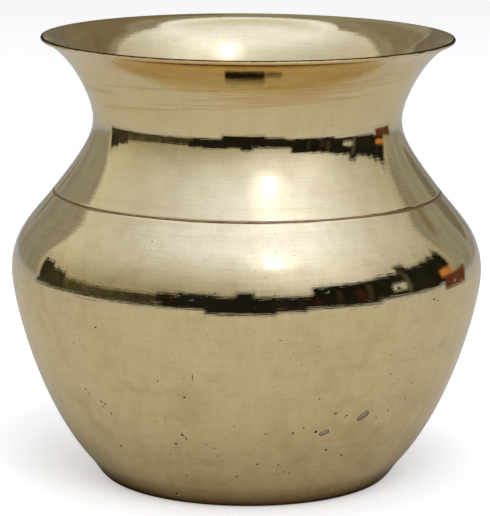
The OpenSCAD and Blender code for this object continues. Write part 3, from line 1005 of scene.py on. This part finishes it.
def floorMaterial():
    # the camera sees it nearly white; the metal mirrors its warmer tone
    material, tree = emptyMaterial("floor")
    seen = addNode(tree, "ShaderNodeLightPath").outputs["Is Camera Ray"]
    white, lift = stageValues["floorWhite"], stageValues["floorLift"]
    near, far = stageValues["floorFade"]
    away = mapRange(tree, doVector(tree, "LENGTH", objectPlace(tree)), near, far)
    tone = mixColour(tree, away, stageValues["floorTone"], stageValues["floorFarTone"])
    warm = addNode(tree, "ShaderNodeBsdfDiffuse", {"Color": tone})
    pale = addNode(tree, "ShaderNodeBsdfDiffuse", {"Color": white + (1,)})
    glow = addNode(tree, "ShaderNodeEmission", {"Color": (1, 1, 1, 1), "Strength": lift})
    seenFloor = addNode(tree, "ShaderNodeAddShader", {0: pale.outputs[0], 1: glow.outputs[0]})
    showShader(tree, addNode(tree, "ShaderNodeMixShader",
                             {0: seen, 1: warm.outputs[0], 2: seenFloor.outputs[0]}))
    return material


def addDisc(name, reach, height, material, hidden):
    sides = 96
    turns = [math.tau * k / sides for k in range(sides)]
    ring = [Vector((reach * math.cos(turn), reach * math.sin(turn), height)) for turn in turns]
    return stagePiece(name, ring, [list(range(sides))], material, hidden)


def addSky():
    rows, columns, lowest = 24, 72, -3
    points = [aim(360 * k / columns, lowest + (90 - lowest) * row / rows) * stageValues["skyReach"]
              for row in range(rows + 1) for k in range(columns)]
    faces = [[row * columns + k, row * columns + (k + 1) % columns,
              (row + 1) * columns + (k + 1) % columns, (row + 1) * columns + k]
             for row in range(rows) for k in range(columns)]
    return stagePiece("sky", points, faces, skyMaterial())


def stripFaces(count):
    return [[2 * k, 2 * k + 2, 2 * k + 3, 2 * k + 1] for k in range(count)]


def addCard(name, turns, low, high, colour, reach, ragged, patch):
    # an upright card that follows a circle; low and high are angles seen from the pot, ragged roughens its top
    count = max(2, round(abs(turns[1] - turns[0])))
    points = []
    for k in range(count + 1):
        turn = turns[0] + (turns[1] - turns[0]) * k / count
        top = high + ragged * (math.sin(turn * 2.1) + 0.6 * math.sin(turn * 5.3 + 1) + 0.4 * math.sin(turn * 11.7))
        for rise in (low, top):
            points.append(aim(turn, 0) * reach + Vector((0, 0,
                                                         potMiddle.z + reach * math.tan(math.radians(rise)))))
    return stagePiece(name, points, stripFaces(count), glowMaterial(name, colour, patch))


def addGround(name, turns, inner, colour):
    # darker ground beyond the table's edge; inner is how far away the edge lies
    lift = Vector((0, 0, stageValues["groundHeight"]))
    count = max(2, round(abs(turns[1] - turns[0])) // 2)
    points = []
    for k in range(count + 1):
        way = aim(turns[0] + (turns[1] - turns[0]) * k / count, 0)
        points += [way * inner + lift, way * stageValues["cardReach"] + lift]
    ground = stagePiece(name, points, stripFaces(count), glowMaterial(name, colour, groundPatch))
    ground.visible_shadow = ground.visible_diffuse = False   # only the metal mirrors it


addDisc("floor", stageValues["floorReach"], 0.0, floorMaterial(), False)
addSky()
groundPatch, cardPatch, cardStep = 0.4, 0.35, 0.004   # patchiness, and the distance between cards
dark, olive = (0.014, 0.0122, 0.0105), (0.09, 0.078, 0.043)
# turns from and to, low and high angle, colour and how ragged the top is
cards = [
    ["leftBlock", (-117, -108), -2.0, 14.2, (0.035, 0.03, 0.021), 0.9],
    ["leftBlockLow", (-108, -97), -2.0, 11.2, (0.045, 0.04, 0.027), 0.8],
    ["leftHedge", (-97, -65), -2.0, 6.9, olive, 0.4],
    ["leftWall", (-65, -43), -2.0, 7.6, (0.05, 0.043, 0.028), 0.4],
    ["darkWall", (-43, -32), -2.0, 12.0, (0.02, 0.016, 0.011), 0.6],
    ["darkWallHigh", (-32, -14), -2.0, 13.6, dark, 0.7],
    ["darkWallLow", (-14, -5), -2.0, 11.4, dark, 0.4],
    ["middlePost", (-5, 4), -2.0, 17.7, dark, 0.2],
    ["rightLow", (4, 32), -2.0, 10.4, dark, 0.5],
    ["rightBlock", (32, 65), -2.0, 22.0, (0.012, 0.0105, 0.008), 0.8],
    ["redSpot", (33, 34.5), 1.0, 3.0, (0.25, 0.03, 0.02), 0.0],
    ["maroonBlock", (53, 58), -2.0, 12.0, (0.035, 0.014, 0.01), 0.0],
    ["lightStripA", (60, 62), -2.0, 17.0, (0.07, 0.06, 0.04), 0.0],
    ["lightStripB", (44, 45.5), -2.0, 14.0, (0.045, 0.04, 0.026), 0.0],
    ["rightTrees", (65, 117), -2.0, 24.0, (0.016, 0.014, 0.0105), 1.6],
    ["treeTop", (82, 89), 20.0, 30.0, (0.016, 0.014, 0.0105), 1.2],
    ["whiteBox", (74, 82), 2.7, 10.7, (0.5, 0.5, 0.47), 0.0],
    ["pillar", (83, 85), -2.0, 24.0, (0.11, 0.1, 0.07), 0.0],
    ["orangeBox", (107, 117), 2.7, 9.3, (0.5, 0.2, 0.06), 0.0],
]
for order, (name, turns, low, high, colour, ragged) in enumerate(cards):
    addCard(name, turns, low, high, colour, stageValues["cardReach"] - cardStep * order, ragged, cardPatch)
addCard("maroonBox", (105, 125), -7.3, 2.7, (0.1, 0.035, 0.022), 0.43, 0.0, 0.3)
# boards behind the pot: turns, angles, colour, how much nearer they stand, how ragged and how patchy
for name, turns, low, high, colour, nearer, ragged, patch in (
        ("backBoard", (121, 240), -2.0, 62.0, (0.305, 0.292, 0.265), 0.3, 0.0, 0.12),
        ("backTop", (128, 178), 24.0, 51.0, (0.215, 0.183, 0.135), 0.34, 1.5, 0.12),
        ("backTopLeft", (195, 226), 26.0, 52.0, (0.25, 0.225, 0.18), 0.34, 1.5, 0.12),
        ("backLow", (146, 206), 5.0, 24.0, (0.2, 0.175, 0.14), 0.35, 0.0, 0.1)):
    addCard(name, turns, low, high, colour, stageValues["cardReach"] - nearer, ragged, patch)
# turns from and to, distance of the table's edge and colour
for name, turns, inner, colour in (
        ("groundLeft", (-39, -18), 0.45, dark), ("groundMiddle", (-18, 13), 0.272, dark),
        ("groundStep", (13, 27), 0.34, (0.02, 0.017, 0.013)),
        ("groundRight", (27, 65), 0.48, dark), ("groundFarRight", (65, 105), 0.8, (0.03, 0.026, 0.018)),
        ("groundFarLeft", (-117, -97), 0.48, (0.045, 0.04, 0.026)),
        ("groundHedge", (-97, -39), 0.47, (0.06, 0.052, 0.033))):
    addGround(name, turns, inner, colour)

for name, spot in (("frontLight", (0.2, -1.15, 1.25)), ("topLight", (0.0, 0.0, 1.5))):
    lamp = bpy.data.lights.new(name, "AREA")
    lamp.shape, lamp.size, lamp.energy = "DISK", stageValues["lightReach"], stageValues[name]
    holder = bpy.data.objects.new(name, lamp)
    bpy.context.scene.collection.objects.link(holder)
    holder.location = spot
    holder.rotation_euler = Vector(spot).to_track_quat("Z", "Y").to_euler()
    holder.visible_glossy = False   # it lights the floor and is not mirrored in the brass

world = bpy.data.worlds.new("white")
bpy.context.scene.world = world
world.use_nodes = True
world.node_tree.nodes["Background"].inputs["Color"].default_value = (1, 1, 1, 1)
print("stage", len(cards), "cards")


# camera and colour handling

cameraValues = {
    "place": (0.0, -0.7163, 0.1926), "target": (0.0, 0.0, 0.0539), "lens": 205.0, "roll": 0.4,
    "sensor": 36.0, "shift": (-0.0029, 0.0014),
}
camera = bpy.data.objects.new("camera", bpy.data.cameras.new("camera"))
bpy.context.scene.collection.objects.link(camera)
camera.location = cameraValues["place"]
look = Vector(cameraValues["target"]) - camera.location
camera.rotation_euler = look.to_track_quat("-Z", "Y").to_euler()
camera.data.lens = cameraValues["lens"]
camera.data.sensor_width = cameraValues["sensor"]
camera.data.shift_x, camera.data.shift_y = cameraValues["shift"]
camera.rotation_euler.rotate_axis("Z", math.radians(cameraValues["roll"]))
bpy.context.scene.camera = camera
bpy.context.scene.view_settings.view_transform = "Standard"
bpy.context.scene.view_settings.look = "None"
